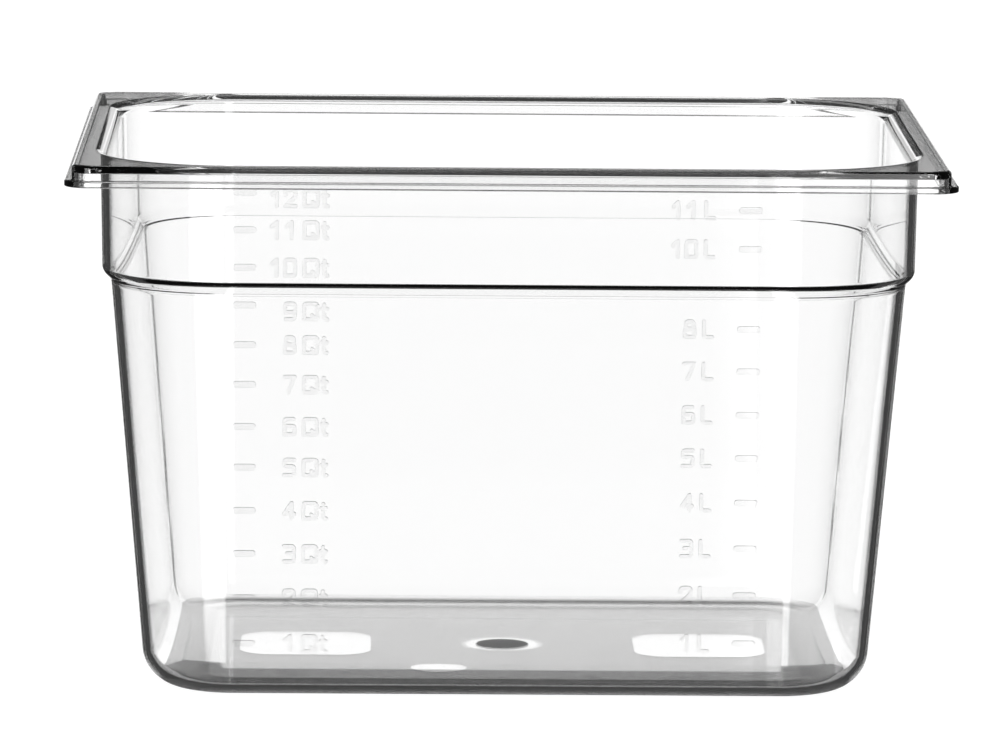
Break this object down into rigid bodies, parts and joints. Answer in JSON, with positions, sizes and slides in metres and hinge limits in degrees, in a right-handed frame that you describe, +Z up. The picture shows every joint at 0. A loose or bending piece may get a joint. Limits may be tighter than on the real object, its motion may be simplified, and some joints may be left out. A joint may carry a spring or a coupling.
{
  "type": "deli food pan",
  "caption": "Clear rectangular food pan with drafted walls, a stacking shoulder and a flat hanging rim, with measuring scales moulded on the front wall.",
  "frame": {"origin": "centre of the base, on the surface the pan stands on", "axes": "+X along the long side, +Y away from the graduated front wall, +Z up"},
  "size_m": [0.325, 0.265, 0.2],
  "materials": {
    "clear_polycarbonate": "clear, polished inside and out, fine texture on the underside",
    "moulded_marks": "clear, raised from the wall",
    "polished_base_marks": "clear, polished"
  },
  "bodies": {
    "root": {"pan_shell": "clear_polycarbonate", "quart_ticks": "moulded_marks", "quart_numerals": "moulded_marks", "litre_ticks": "moulded_marks", "litre_numerals": "moulded_marks", "left_base_plaque": "polished_base_marks", "right_base_plaque": "polished_base_marks", "stamp_disc": "polished_base_marks", "gate_disc": "polished_base_marks"}
  },
  "joints": []
}
